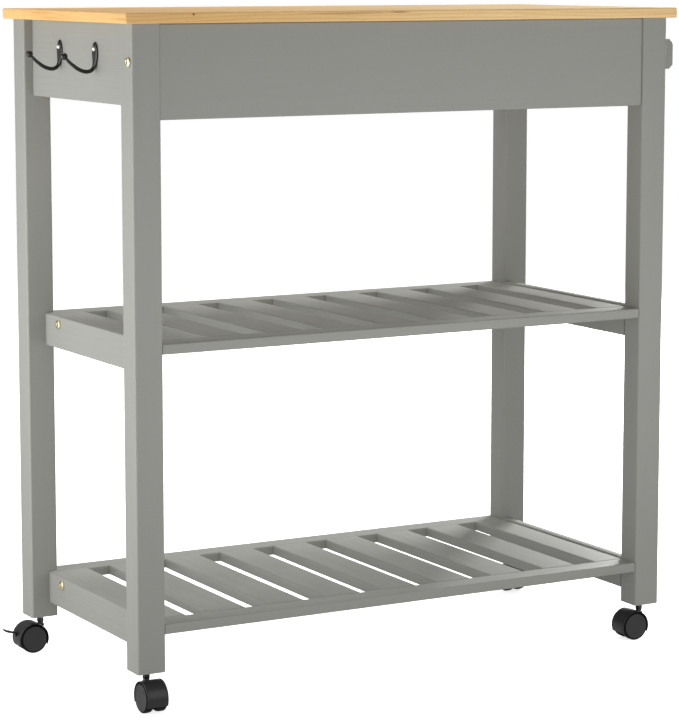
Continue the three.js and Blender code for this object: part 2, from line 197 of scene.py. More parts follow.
class Surface:
    """A material's node tree, with short calls for the nodes used here."""

    def __init__(self, name, **settings):
        self.material = bpy.data.materials.new(name)
        self.material.use_nodes = True
        self.tree = self.material.node_tree
        self.shader = self.tree.nodes["Principled BSDF"]
        for socket, value in settings.items():
            self.shader.inputs[socket.replace("_", " ")].default_value = value
        coordinates = self.tree.nodes.new("ShaderNodeTexCoord")
        self.place = coordinates.outputs["Object"]
        self.facing = coordinates.outputs["Normal"]

    def feed(self, socket, value):
        """Links a node's output to the socket, or sets the socket to a plain value."""
        if isinstance(value, bpy.types.NodeSocket):
            self.tree.links.new(value, socket)
        else:
            socket.default_value = value

    def vector(self, operation, *values):
        """The node of an operation on vectors."""
        node = self.tree.nodes.new("ShaderNodeVectorMath")
        node.operation = operation
        for socket, value in zip(node.inputs, values):
            self.feed(socket, value)
        return node

    def length(self, vector):
        """The length of a vector."""
        return self.vector("LENGTH", vector).outputs["Value"]

    def parts(self, vector):
        """The X, Y and Z of a vector."""
        node = self.tree.nodes.new("ShaderNodeSeparateXYZ")
        self.feed(node.inputs[0], vector)
        return tuple(node.outputs)

    def stretched(self, scale):
        """Object coordinates, scaled along each axis."""
        return self.vector("MULTIPLY", self.place, scale).outputs[0]

    def noise(self, vector, scale=1.0, detail=3.0, roughness=0.5, distortion=0.0):
        node = self.tree.nodes.new("ShaderNodeTexNoise")
        self.feed(node.inputs["Vector"], vector)
        for socket, value in (
            ("Scale", scale), ("Detail", detail), ("Roughness", roughness), ("Distortion", distortion),
        ):
            self.feed(node.inputs[socket], value)
        return node.outputs["Fac"]

    def math(self, operation, a, b=0.0):
        node = self.tree.nodes.new("ShaderNodeMath")
        node.operation = operation
        for socket, value in zip(node.inputs, (a, b)):
            self.feed(socket, value)
        return node.outputs[0]

    def remap(self, value, low, high, to_low=0.0, to_high=1.0):
        """Maps low..high to to_low..to_high, smoothly and held at both ends."""
        node = self.tree.nodes.new("ShaderNodeMapRange")
        node.interpolation_type = "SMOOTHSTEP"
        for socket, number in zip(node.inputs, (value, low, high, to_low, to_high)):
            self.feed(socket, number)
        return node.outputs[0]

    def blend(self, amount, first, second, kind="MIX"):
        """The first colour with the given amount, 0 to 1, of the second over it."""
        node = self.tree.nodes.new("ShaderNodeMix")
        node.data_type = "RGBA"
        node.blend_type = kind
        colours = [socket for socket in node.inputs if socket.type == "RGBA"]
        self.feed(node.inputs[0], amount)
        self.feed(colours[0], first)
        self.feed(colours[1], second)
        return next(socket for socket in node.outputs if socket.type == "RGBA")

    def bump(self, height, depth):
        """Relief of `depth` millimetres for a height from 0 to 1."""
        node = self.tree.nodes.new("ShaderNodeBump")
        self.feed(node.inputs["Strength"], 1.0)
        self.feed(node.inputs["Distance"], depth * MM)
        self.feed(node.inputs["Height"], height)
        self.feed(self.shader.inputs["Normal"], node.outputs["Normal"])

    def finish(self, colour, roughness):
        """Feeds the shader, and returns the finished material."""
        self.feed(self.shader.inputs["Base Color"], colour)
        self.feed(self.shader.inputs["Roughness"], roughness)
        return self.material


def shade(value, tint=(1.0, 1.0, 1.0)):
    """A grey of the given value, or a tint of it, as a colour with alpha."""
    return (value * tint[0], value * tint[1], value * tint[2], 1.0)


def along_axis(axis, along, across):
    """A scale for each of X, Y and Z: one number along the axis and another across it."""
    return tuple(along if i == axis else across for i in range(3))


PAINT_TINT = (1.0, 1.012, 0.925)
PAINT_SHADE = 0.268


def painted_wood(axis):
    """Sprayed satin paint on wood whose grain, along the given axis, just shows through."""
    s = Surface("grey_paint_" + "xyz"[axis], Specular_IOR_Level=0.4)
    grain = s.noise(s.stretched(along_axis(axis, 7, 330)), detail=5, roughness=0.6, distortion=0.3)
    cloud = s.noise(s.place, scale=7, detail=2)
    peel = s.noise(s.place, scale=1500, detail=1)
    dark, pale = (shade(PAINT_SHADE * share, PAINT_TINT) for share in (0.975, 1.025))
    colour = s.blend(cloud, dark, pale)
    in_grain = shade(PAINT_SHADE * 0.95, PAINT_TINT)
    colour = s.blend(s.remap(grain, 0.4, 0.75, 0.0, 0.2), colour, in_grain)
    height = s.math("ADD", s.math("MULTIPLY", grain, 0.7), s.math("MULTIPLY", peel, 0.3))
    s.bump(height, 0.02)
    return s.finish(colour, s.remap(grain, 0.3, 0.7, 0.4, 0.5))


def turned_metal(name, colour, roughness):
    """Metal with the fine rings that turning leaves round the piece's own Z axis."""
    s = Surface(name, Metallic=1.0)
    rings = s.noise(s.stretched((30, 30, 2600)), detail=2)
    smudge = s.noise(s.place, scale=260, detail=3)
    s.bump(rings, 0.012)
    tone = s.blend(smudge, shade(0.9, colour), shade(1.05, colour))
    return s.finish(tone, s.remap(smudge, 0.3, 0.7, roughness - 0.05, roughness + 0.08))


def moulded_plastic(name, level, roughness, relief, specular):
    """Injection-moulded plastic with a fine spark-eroded grain and faint flow marks."""
    s = Surface(name, Specular_IOR_Level=specular)
    grain = s.noise(s.place, scale=2600, detail=2, roughness=0.6)
    flow = s.noise(s.stretched((45, 45, 160)), detail=3, distortion=0.6)
    s.bump(grain, relief)
    tone = s.blend(flow, shade(level * 0.82), shade(level * 1.2, (1.0, 1.0, 1.02)))
    return s.finish(tone, s.remap(flow, 0.3, 0.7, roughness - 0.05, roughness + 0.07))


def black_iron():
    """Cast hooks under thick glossy black paint."""
    s = Surface("black_iron", Specular_IOR_Level=0.42)
    lumps = s.noise(s.place, scale=330, detail=3)
    pits = s.noise(s.place, scale=1400, detail=2)
    s.bump(s.math("ADD", s.math("MULTIPLY", lumps, 0.8), s.math("MULTIPLY", pits, 0.2)), 0.1)
    tone = s.blend(lumps, shade(0.006), shade(0.014))
    return s.finish(tone, s.remap(pits, 0.3, 0.7, 0.2, 0.3))


STAVE_WIDTH = 45.2
BLOCK_LENGTH = 310
RINGS_PER_METRE = 210
# Knots and dark streaks as (x, y, z, half length, half width, darkness), in the part's frame.
KNOTS = (
    (-338.5, -198.6, 897.2, 2.6, 2.1, 1.0),
    (-115.0, -198.6, 896.8, 95.0, 1.5, 0.5),
    (-38.0, -198.6, 897.6, 24.0, 1.3, 0.7),
    (212.0, 88.0, 900.0, 8.0, 3.4, 0.8),
    (-150.0, 131.0, 900.0, 6.0, 2.4, 0.6),
)


def wood_rings(s, staves):
    """Growth rings as heights from 0 to 1: circles round a pith that each stave has elsewhere."""
    wander = s.noise(s.stretched((2.2, 9, 9)), detail=3, roughness=0.5)
    centre = s.vector("MULTIPLY_ADD", staves, (0.0, 0.16, 0.12), (0.0, -0.08, -0.17)).outputs[0]
    offset = s.vector("SUBTRACT", s.stretched((0.0, 1.0, 1.0)), centre).outputs[0]
    bent = s.math("ADD", s.length(offset), s.math("MULTIPLY", wander, 0.03))
    return s.math("FRACT", s.math("MULTIPLY", bent, RINGS_PER_METRE))


def stave_numbers(s, along, across):
    """A random value and a random colour for each block of each stave of the worktop."""
    row = s.math("FLOOR", s.math("DIVIDE", across, STAVE_WIDTH * MM))
    shift = s.tree.nodes.new("ShaderNodeTexWhiteNoise")
    shift.noise_dimensions = "1D"
    s.feed(shift.inputs["W"], row)
    moved = s.math("ADD", s.math("DIVIDE", along, BLOCK_LENGTH * MM), shift.outputs["Value"])
    block = s.tree.nodes.new("ShaderNodeCombineXYZ")
    s.feed(block.inputs["X"], s.math("FLOOR", moved))
    s.feed(block.inputs["Y"], row)
    chance = s.tree.nodes.new("ShaderNodeTexWhiteNoise")
    s.feed(chance.inputs["Vector"], block.outputs[0])
    return chance.outputs["Value"], chance.outputs["Color"]


def knot_mask(s, centre, half_length, half_width, darkness):
    """The given darkness in the middle of a knot or streak, fading to nothing at its edge."""
    offset = s.vector("SUBTRACT", s.place, tuple(Vector(centre) * MM)).outputs[0]
    squeezed = s.vector("MULTIPLY", offset, (half_width / half_length, 1.0, 1.0)).outputs[0]
    return s.remap(s.length(squeezed), 0.2 * half_width * MM, half_width * MM, darkness, 0.0)


def worktop_tone_and_painted_light(s, along, on_front):
    """The board is redder at its left end and paler at its right, most of all on its front edge. The
    left-to-right change is partly the wood's own tone and partly painted light from the right; the extra
    paleness at the right of the front edge is painted light.
    """
    # Painted light: the pale right-hand tints stand in for light falling from the right, most of all on the
    # front edge.
    left, right, painted_light_right_of_front = (0.93, 0.84, 0.74), (1.0, 1.08, 1.2), (1.18, 1.28, 1.55)
    right_end_tone_and_painted_light = s.blend(on_front, shade(1.0, right), shade(1.0, painted_light_right_of_front))
    return s.blend(s.remap(along, -0.45, 0.45), shade(1.0, left), right_end_tone_and_painted_light)


def worktop_wood():
    """Narrow staves glued side by side, each cut into blocks along its length."""
    s = Surface("worktop_wood", Specular_IOR_Level=0.28)
    along, across = s.parts(s.place)[:2]
    on_end, on_front = (s.remap(s.math("ABSOLUTE", part), 0.5, 0.9) for part in s.parts(s.facing)[:2])
    stave_value, stave_colour = stave_numbers(s, along, across)

    late = s.remap(wood_rings(s, stave_colour), 0.45, 0.97)
    fibre = s.noise(s.stretched((14, 620, 620)), detail=4, roughness=0.65)
    pores = s.noise(s.stretched((120, 1900, 1900)), detail=1)
    side_streak = s.noise(s.stretched((1.6, 60, 60)), roughness=0.55)
    end_streak = s.noise(s.stretched((1, 7, 240)))
    to_end = s.math("MULTIPLY", on_end, s.math("SUBTRACT", end_streak, side_streak))
    streak = s.math("ADD", side_streak, to_end)
    ring_contrast = s.remap(on_end, 0.0, 1.0, 0.5, 0.08)
    stave_contrast = s.remap(on_end, 0.0, 1.0, 0.34, 0.1)

    pale, deep = shade(1.0, (0.80, 0.555, 0.24)), shade(1.0, (0.62, 0.36, 0.12))
    colour = s.blend(s.math("MULTIPLY", late, ring_contrast), pale, deep)
    colour = s.blend(s.remap(streak, 0.46, 0.74, 0.0, 0.6), colour, shade(1.0, (0.54, 0.285, 0.09)))
    colour = s.blend(s.math("MULTIPLY", stave_value, stave_contrast), colour, deep)
    colour = s.blend(s.remap(fibre, 0.42, 0.7, 0.0, 0.16), colour, shade(1.0, (0.45, 0.25, 0.09)))
    colour = s.blend(s.remap(pores, 0.66, 0.74, 0.0, 0.3), colour, shade(1.0, (0.30, 0.15, 0.05)))
    for x, y, z, half_length, half_width, darkness in KNOTS:
        knot = knot_mask(s, (x, y, z), half_length, half_width, darkness)
        colour = s.blend(knot, colour, shade(1.0, (0.16, 0.06, 0.014)))
    seam = s.math("PINGPONG", s.math("DIVIDE", across, STAVE_WIDTH * MM), 0.5)
    colour = s.blend(s.remap(seam, 0.0, 0.007, 0.3, 0.0), colour, shade(1.0, (0.33, 0.17, 0.06)))
    # Partly painted light: this tint pales the board towards its right and most on its front edge, partly
    # the wood's own tone and partly light from the right.
    colour = s.blend(1.0, colour, worktop_tone_and_painted_light(s, along, on_front), "MULTIPLY")
    height = s.math("ADD", s.math("MULTIPLY", fibre, 0.6), s.math("MULTIPLY", late, 0.4))
    s.bump(height, 0.05)
    return s.finish(colour, s.remap(fibre, 0.3, 0.7, 0.42, 0.56))


def bare_wood(axis):
    """Planed softwood battens, unfinished."""
    s = Surface("bare_wood", Specular_IOR_Level=0.25)
    bands = s.noise(s.stretched(along_axis(axis, 3, 260)), detail=5, roughness=0.6, distortion=0.4)
    fibre = s.noise(s.stretched(along_axis(axis, 20, 1100)), detail=3)
    colour = s.blend(s.remap(bands, 0.35, 0.7), (0.72, 0.50, 0.27, 1.0), (0.55, 0.33, 0.15, 1.0))
    s.bump(fibre, 0.08)
    return s.finish(colour, s.remap(fibre, 0.3, 0.7, 0.6, 0.75))


def floor_surface():
    """A pale matt floor that glows a little, so that it stays white round the object."""
    s = Surface("pale_floor", Specular_IOR_Level=0.15, Emission_Strength=0.76)
    mottle = s.noise(s.place, scale=3, detail=4)
    colour = s.blend(mottle, shade(0.9), shade(0.93))
    return s.finish(colour, s.remap(mottle, 0.3, 0.7, 0.7, 0.8))


PAINT = [painted_wood(axis) for axis in range(3)]
HOOD_PLASTIC = moulded_plastic("black_plastic", 0.016, 0.34, 0.02, 0.4)
WHEEL_PLASTIC = moulded_plastic("wheel_plastic", 0.03, 0.48, 0.025, 0.35)
# The tread is near black: this is partly its own darker plastic and partly painted shade for the dark gap
# between the disc and the hood.
TREAD_PLASTIC_WITH_PAINTED_SHADE = moulded_plastic("tread_plastic_with_painted_shade", 0.004, 0.6, 0.03, 0.12)
DARK_STEEL = turned_metal("dark_steel", (0.075, 0.075, 0.08), 0.26)
BRIGHT_STEEL = turned_metal("bright_steel", (0.82, 0.82, 0.80), 0.2)
BRASS = turned_metal("brass", (0.92, 0.81, 0.52), 0.2)
IRON = black_iron()

# ---- Boards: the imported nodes, with finishes and slightly rounded ends ---------------------


def smooth_faces_group():
    """Marks every face smooth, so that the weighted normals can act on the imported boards."""
    group = bpy.data.node_groups.new("smooth_faces", "GeometryNodeTree")
    for side in ("INPUT", "OUTPUT"):
        group.interface.new_socket("Geometry", in_out=side, socket_type="NodeSocketGeometry")
    source = group.nodes.new("NodeGroupInput")
    smooth = group.nodes.new("GeometryNodeSetShadeSmooth")
    target = group.nodes.new("NodeGroupOutput")
    group.links.new(source.outputs[0], smooth.inputs["Geometry"])
    group.links.new(smooth.outputs[0], target.inputs[0])
    return group


SMOOTH_FACES = smooth_faces_group()
BOARD_END_EDGE = 0.6


def longest_axis(node):
    """0, 1 or 2 for X, Y or Z: the way the board's grain runs."""
    low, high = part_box(node)
    size = high - low
    return max(range(3), key=lambda axis: size[axis])


def finish_board(node, material):
    """Gives a packed board its material and the small radius of its ends."""
    board = frame["nodes"][node]
    board.material_slots[0].material = material
    smooth = board.modifiers.new("smooth", "NODES")
    smooth.node_group = SMOOTH_FACES
    weld = board.modifiers.new("weld", "WELD")
    weld.merge_threshold = 0.01 * MM
    soften(board, BOARD_END_EDGE)


WORKTOP_WOOD = worktop_wood()
BARE_WOOD = bare_wood(0)
for name, board in frame["nodes"].items():
    if name.startswith(("caster_", "brake_", "hook_")):
        continue
    kind = board.material_slots[0].material.name
    if kind == "worktop_wood":
        finish_board(name, WORKTOP_WOOD)
    elif kind == "bare_wood":
        finish_board(name, BARE_WOOD)
    else:
        finish_board(name, PAINT[longest_axis(name)])

# ---- Casters ------------------------------------------------------------------------------
# In a caster's own frame the swivel axis is Z, the axle is along Y and the wheels trail to +X.

wheel_low, wheel_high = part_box("caster_wheel_front_left_a")
WHEEL_RADIUS = (wheel_high.z - wheel_low.z) / 2 / MM
WHEEL_WIDTH = (wheel_high.x - wheel_low.x) / MM
hood_low, hood_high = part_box("caster_hood_front_left")
HOOD_RADIUS = hood_high.z / MM - WHEEL_RADIUS
HOOD_HALF_WIDTH = (hood_high.x - hood_low.x) / 2 / MM
HOOD_WALL = 1.3
HOOD_END = -25  # degrees from +X, where the cover starts and as far on at its other end
WEB_HALF = 3.4  # half the thickness of the plate between the wheels
DISC_RADIUS = 17.7
AXLE_RADIUS = 3
AXLE_HALF = 11.4
STEM_RADIUS = 4.2
SLEEVE_RADIUS = 4.7
STEM_SHOULDER = 38.3  # the height at which the stem leaves the hood
BOSS_RADIUS = 5.5
LEG_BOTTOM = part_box("leg_front_left")[0].z / MM
STEM_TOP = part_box("caster_stem_front_left")[1].z / MM
TURN_Z_TO_Y = Matrix.Rotation(-math.pi / 2, 4, "X")


def middle_of(node):
    """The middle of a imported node's box, in millimetres."""
    low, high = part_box(node)
    return (low + high) / 2 / MM


def joint_named(name):
    """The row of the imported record's joints that has this name."""
    return next(joint for joint in frame["joints"] if joint["name"] == name)


def caster_place(corner):
    """The caster's own frame, how far the axle trails the swivel axis, and how far each wheel's middle
    is from the caster's."""
    swivel = Vector(joint_named("swivel_" + corner)["pos_m"]) / MM
    swivel.z = 0
    wheel_a = middle_of(f"caster_wheel_{corner}_a")
    wheel_b = middle_of(f"caster_wheel_{corner}_b")
    trail = (wheel_a + wheel_b) / 2 - swivel
    trail.z = 0
    across = wheel_a - wheel_b
    turn = Matrix((trail.normalized(), across.normalized(), (0, 0, 1))).transposed()
    return Matrix.Translation(swivel) @ turn.to_4x4(), trail.length, across.length / 2


def disc_shape():
    """The wheel's moulded centre about Z with its closed face up: a dished disc inside a raised rim,
    a skirt under the tread, and the hub."""
    w = WHEEL_WIDTH / 2
    dish = w - 0.6
    disc = [(0, dish), (15.2, dish), (15.7, dish + 0.12), (16.1, w - 0.12), (16.6, w)]
    skirt = [
        (DISC_RADIUS - 0.3, w), (DISC_RADIUS, w - 0.3), (DISC_RADIUS, 0.2 - w), (DISC_RADIUS - 0.2, -w),
    ]
    inside = [(17.1, -w), (17, 0.1 - w), (17, w - 3.6), (6.2, w - 3.6), (6, 0.5 - w), (5.8, 0.3 - w)]
    bore = [(AXLE_RADIUS + 0.3, 0.3 - w), (AXLE_RADIUS + 0.3, w - 3.2), (0, w - 3.2)]
    mark = turned([(2.3, -0.1), (2.5, 0.3), (3.0, 0.42), (3.5, 0.3), (3.7, -0.1)], 32)
    mark_place = Matrix.Translation((-8.2, -9.6, dish))
    return [turned(disc + skirt + inside + bore, 96), placed(mark, mark_place)]


def tread_shape():
    """The tread round the disc. The edge by the web is rounded further in than the outer one."""
    w, r, inner = WHEEL_WIDTH / 2, WHEEL_RADIUS, DISC_RADIUS + 0.05
    edge = r - inner - 0.1
    outer_edge = arc((r - edge, w - edge), edge, 90, 0, 8)
    web_edge = [(x, 2 * y + w) for x, y in arc((r - edge, edge - w), edge, 0, -90, 8)]
    return turned([(inner, -w), (inner, w), *outer_edge, *web_edge], 96)


def hood_cover(trail):
    """The moulded cover: a band round both treads with a groove by each edge and heavier ends."""
    half, crown, groove, bead = HOOD_HALF_WIDTH, 0.2, 0.5, 0.75
    rim = HOOD_RADIUS - crown
    one_side = [
        (rim - bead, half), *arc((rim - bead, half - bead), bead, 60, -30, 4),
        (rim - groove, half - 1.7), (rim - groove, half - 2.6), (rim - 0.15, half - 3.1),
        (rim, half - 3.6), (rim + crown * 0.75, half / 2),
    ]
    inner = HOOD_RADIUS - HOOD_WALL
    section = (
        [(inner, -half + 0.3)] + [(r, -y) for r, y in one_side] + [(rim + crown, 0)]
        + one_side[::-1] + [(inner, half - 0.3)]
    )
    steps, flare, flare_reach = 92, 0.7, 7.0
    rings = []
    for i in range(steps + 1):
        angle = HOOD_END + (180 - 2 * HOOD_END) * i / steps
        from_end = min(angle - HOOD_END, 180 - HOOD_END - angle)
        swell = flare * max(0.0, 1 - from_end / flare_reach) ** 2
        c, s = math.cos(math.radians(angle)), math.sin(math.radians(angle))
        ring = []
        for r, y in section:
            reach = r + (swell if r > inner else 0)
            ring.append((trail + reach * c, y, WHEEL_RADIUS + reach * s))
        rings.append(ring)
    return lofted(rings)


def hood_web(trail):
    """The plate between the wheels, and the boss round the stem."""
    ends = HOOD_RADIUS - HOOD_WALL / 2
    outline = arc((trail, WHEEL_RADIUS), ends, HOOD_END, 180 - HOOD_END, 48)
    plate = extruded(outline, -WEB_HALF, WEB_HALF)
    seat = STEM_SHOULDER - 0.3
    boss = turned([
        (0, 27), (BOSS_RADIUS - 1.2, 27), *arc((BOSS_RADIUS - 0.7, seat - 0.7), 0.7, 0, 90),
        (STEM_RADIUS - 0.2, seat), (STEM_RADIUS - 0.2, seat - 1), (0, seat - 1),
    ], 48)
    return [plate, boss]


def round_pin(radius, half_length, bevel):
    """A pin about Z with bevelled ends."""
    shoulder = half_length - bevel
    return turned([
        (0, -half_length), (radius - bevel, -half_length), (radius, -shoulder), (radius, shoulder),
        (radius - bevel, half_length), (0, half_length),
    ], 32)


LEVER_WIDTH = 5.4
LEVER_THICKNESS = 3
LEVER_LENGTH = 29.5
BARREL_RADIUS = 2.2
BARREL_HALF = 2.7
PEDAL_WIDTH = 10
PEDAL_LENGTH = 11.5
RIB_PITCH = 2.2
RIB_HEIGHT = 0.28


def lever_place(corner, place):
    """The lever's pivot in the caster's frame, the slope it rests at, and how far it swings down."""
    joint = joint_named("brake_pedal_" + corner)
    pivot = place.inverted() @ (Vector(joint["pos_m"]) / MM)
    pivot.y = 0
    low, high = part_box("brake_lever_" + corner)
    reach = max(high.x - low.x, high.y - low.y) / MM - BARREL_RADIUS
    rise = math.acos(min(1.0, (reach - 0.4) / LEVER_LENGTH))
    return pivot, rise, math.radians(joint["range_deg"][1])


def lever_slot(pivot, rise, throw):
    """The wedge that the lever swings through, as a shape in the caster's frame."""
    reach, margin = 14, LEVER_THICKNESS / 2 + 0.6
    top, bottom = rise, rise - throw
    outline = []
    for angle, distance, side in ((top, 0, 1), (bottom, 0, -1), (bottom, reach, -1), (top, reach, 1)):
        x = pivot.x + distance * math.cos(angle) - side * margin * math.sin(angle)
        z = pivot.z + distance * math.sin(angle) + side * margin * math.cos(angle)
        outline.append((x, z))
    half = LEVER_WIDTH / 2 + 0.7
    return extruded(outline, -half, half)


def rounded_square(angle, power):
    """A point on the outline |x|^p + |y|^p = 1."""
    c, s = math.cos(angle), math.sin(angle)
    size = (abs(c) ** power + abs(s) ** power) ** (-1 / power)
    return c * size, s * size


def lever_shape():
    """A tongue that widens into a ribbed pedal with a raised tip, and the pivot barrel."""
    start, tip = LEVER_LENGTH - PEDAL_LENGTH, LEVER_LENGTH
    tongue, pedal, thick = LEVER_WIDTH / 2, PEDAL_WIDTH / 2, LEVER_THICKNESS / 2
    # distance, half width, half thickness, middle height
    knots = [
        (0, tongue, thick, 0), (start - 4, tongue, thick, 0), (start, tongue + 0.6, thick, 0),
        (start + 3, pedal, thick, 0), (tip - 5, pedal, thick, 0), (tip - 2.6, pedal, thick + 0.1, 0.6),
        (tip - 0.6, pedal - 0.7, thick, 1.1), (tip, pedal - 1.6, 0.7, 1.2),
    ]
    rings = []
    for x, half_width, half_thickness, middle in smooth_knots(knots, 6):
        ribbed = start + 2 < x < tip - 3
        wave = math.sin((x - start) * 2 * math.pi / RIB_PITCH)
        rib = RIB_HEIGHT * max(0.0, wave) if ribbed else 0
        ring = []
        for i in range(24):
            c, s = rounded_square(2 * math.pi * i / 24, 5)
            ring.append((x, half_width * c, middle + half_thickness * s + (rib if s > 0.9 else 0)))
        rings.append(ring)
    return [lofted(rings), placed(round_pin(BARREL_RADIUS, BARREL_HALF, 0.2), TURN_Z_TO_Y)]


def stem_shape():
    """The steel stem with a turned groove near the hood, a sleeve, and its shank up in the leg."""
    shank = STEM_RADIUS - 0.2
    return turned([
        (0, STEM_SHOULDER - 1), (STEM_RADIUS - 0.4, STEM_SHOULDER - 1),
        (STEM_RADIUS, STEM_SHOULDER - 0.6), (STEM_RADIUS, STEM_SHOULDER + 1.6),
        (STEM_RADIUS - 0.3, STEM_SHOULDER + 1.9), (STEM_RADIUS - 0.3, STEM_SHOULDER + 2.5),
        (SLEEVE_RADIUS - 0.3, STEM_SHOULDER + 2.7), (SLEEVE_RADIUS, STEM_SHOULDER + 3),
        (SLEEVE_RADIUS, LEG_BOTTOM - 0.6), (shank, LEG_BOTTOM - 0.2),
        (shank, STEM_TOP - 1.2), (shank - 1.2, STEM_TOP), (0, STEM_TOP),
    ], 48)


def collar_shape():
    """The pressed flange of the socket that the stem plugs into, under the leg."""
    top, drop, r = LEG_BOTTOM - 0.02, 4.1, SLEEVE_RADIUS + 0.1
    return turned([
        (r, top), (r, top - drop), (r + 0.3, top - drop), (r + 0.6, top - drop + 0.4), (r + 0.6, top - 1.1),
        (6.3, top - 0.9), (6.9, top - 0.5), (6.9, top),
    ], 48)


def add_caster(corner):
    """Hood, axle, twin wheels and stem of one caster, and the brake lever where the pack has one."""
    place, trail, wheel_offset = caster_place(corner)
    caster, frame_body = "caster_" + corner, "cart_frame"
    hood = add_piece(
        "hood_" + corner, [hood_cover(trail), *hood_web(trail)], place, HOOD_PLASTIC,
        caster, ["caster_hood_" + corner],
    )
    if "brake_lever_" + corner in frame["nodes"]:
        pivot, rise, throw = lever_place(corner, place)
        cut(hood, lever_slot(pivot, rise, throw))
        lever = place @ Matrix.Translation(pivot) @ Matrix.Rotation(-rise, 4, "Y")
        add_piece(
            "brake_pedal_" + corner, lever_shape(), lever, HOOD_PLASTIC,
            "brake_" + corner, ["brake_lever_" + corner], 0.15,
        )
    soften(hood, 0.2)
    axle = [round_pin(AXLE_RADIUS, AXLE_HALF, 0.4)]
    hub = place @ Matrix.Translation((trail, 0, WHEEL_RADIUS))
    add_piece("axle_" + corner, axle, hub @ TURN_Z_TO_Y, BRIGHT_STEEL, caster)
    for side, turn in (("a", 0), ("b", math.pi)):
        at = hub @ Matrix.Rotation(turn, 4, "Z") @ Matrix.Translation((0, wheel_offset, 0)) @ TURN_Z_TO_Y
        wheel = f"wheel_{corner}_{side}"
        add_piece(
            f"wheel_disc_{corner}_{side}", disc_shape(), at, WHEEL_PLASTIC, wheel,
            [f"caster_wheel_{corner}_{side}"], 0.12,
        )
        add_piece(
            f"wheel_tread_{corner}_{side}", [tread_shape()], at, TREAD_PLASTIC_WITH_PAINTED_SHADE, wheel,
        )
    add_piece(
        "stem_" + corner, [stem_shape()], place, DARK_STEEL, frame_body,
        ["caster_stem_" + corner], 0.1,
    )
    add_piece("stem_collar_" + corner, [collar_shape()], place, BRIGHT_STEEL, frame_body)


for corner in CORNERS:
    add_caster(corner)

# ---- Hooks on the left end ----------------------------------------------------------------

HOOK_REACH = 44.6  # from the apron to the middle of the ball
BALL_RADIUS = 4.7
SCREW_DOWN = 9.2  # from the plate's top to the screw


def hook_shape():
    """A leaf-shaped plate that narrows into a round arm, which dips and rises to a ball.
    Local +X points out from the apron, and Z is measured from the plate's top."""
    # out, up, half width, half thickness
    knots = [
        (1.0, -0.1, 0.9, 0.4), (1.3, -1.6, 3.4, 1.0), (1.5, -6.5, 6.6, 1.4), (1.6, -14, 8.2, 1.55),
        (1.6, -21, 7.4, 1.55), (1.9, -27.5, 5.2, 1.85), (3.2, -33, 3.5, 2.3), (7.0, -36.9, 2.9, 2.6),
        (14, -38.2, 2.7, 2.6), (24, -35.2, 2.5, 2.5), (35, -27.5, 2.2, 2.2), (42.6, -19.8, 1.8, 1.8),
    ]
    rows = smooth_knots(knots, 7)
    rings = []
    for k, (x, z, half_width, half_thickness) in enumerate(rows):
        before, after = rows[max(k - 1, 0)], rows[min(k + 1, len(rows) - 1)]
        along = Vector((after[0] - before[0], 0, after[1] - before[1])).normalized()
        out = Vector((-along.z, 0, along.x))
        ring = []
        for i in range(28):
            angle = 2 * math.pi * i / 28
            offset = out * (half_thickness * math.cos(angle))
            ring.append((x + offset.x, half_width * math.sin(angle), z + offset.z))
        rings.append(ring)
    ball = turned([(0, -BALL_RADIUS), *arc((0, 0), BALL_RADIUS, -80, 80, 16), (0, BALL_RADIUS)], 32)
    return [lofted(rings), placed(ball, Matrix.Translation((HOOK_REACH, 0, -18)))]


def cross_recess(angle):
    """The radius of a cross-shaped outline at an angle."""
    arm, half = 1.7, 0.4
    off_axis = (angle + math.pi / 4) % (math.pi / 2) - math.pi / 4
    return min(arm / math.cos(off_axis), half / max(abs(math.sin(off_axis)), 1e-6))


def screw_shape():
    """A round head about Z with a cross recess."""
    radius, height = 3.2, 1.6
    angles = [math.radians(degrees) for degrees in (0, 15, 32, 50)]
    dome = [(radius * math.cos(angle), height * math.sin(angle)) for angle in angles]
    recess = [(cross_recess, 1.4), (cross_recess, 0.55), (0, 0.4)]
    return turned([(0, -0.4), (radius, -0.4), *dome, *recess], 96)


TURN_Z_TO_X = Matrix.Rotation(math.pi / 2, 4, "Y")


def add_hook(place_name):
    """The front or the rear hook, with its screw."""
    low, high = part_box("hook_" + place_name)
    plate_top = Vector((high.x, (low.y + high.y) / 2, high.z)) / MM
    place = Matrix.Translation(plate_top) @ Matrix.Rotation(math.pi, 4, "Z")
    add_piece(
        "coat_hook_" + place_name, hook_shape(), place, IRON, "cart_frame",
        ["hook_" + place_name],
    )
    on_plate = place @ Matrix.Translation((2.9, 0, -SCREW_DOWN)) @ TURN_Z_TO_X
    add_piece(
        "hook_screw_" + place_name, [screw_shape()], on_plate, BRIGHT_STEEL, "cart_frame",
    )


for place_name in ("front", "rear"):
    add_hook(place_name)

# ---- Brass joint bolts on both ends -------------------------------------------------------

BOLT_RADIUS = 6.2
BOLT_PROUD = 3.1
FRONT_BOLT_INSET = 44  # from the front end of an end rail
REAR_BOLT_INSET = 47  # from its rear end
RAIL_BOLT_DROP = 11  # below the end rail's top
LEG_BOLT_BACK = 11  # behind the leg's front face
LEG_BOLT_DROP = 48  # below the top of the leg


def hexagon(across_flats):
    """A function that gives a hexagon's radius at an angle."""
    def radius(angle):
        return across_flats / 2 / math.cos((angle + math.pi / 6) % (math.pi / 3) - math.pi / 6)
    return radius


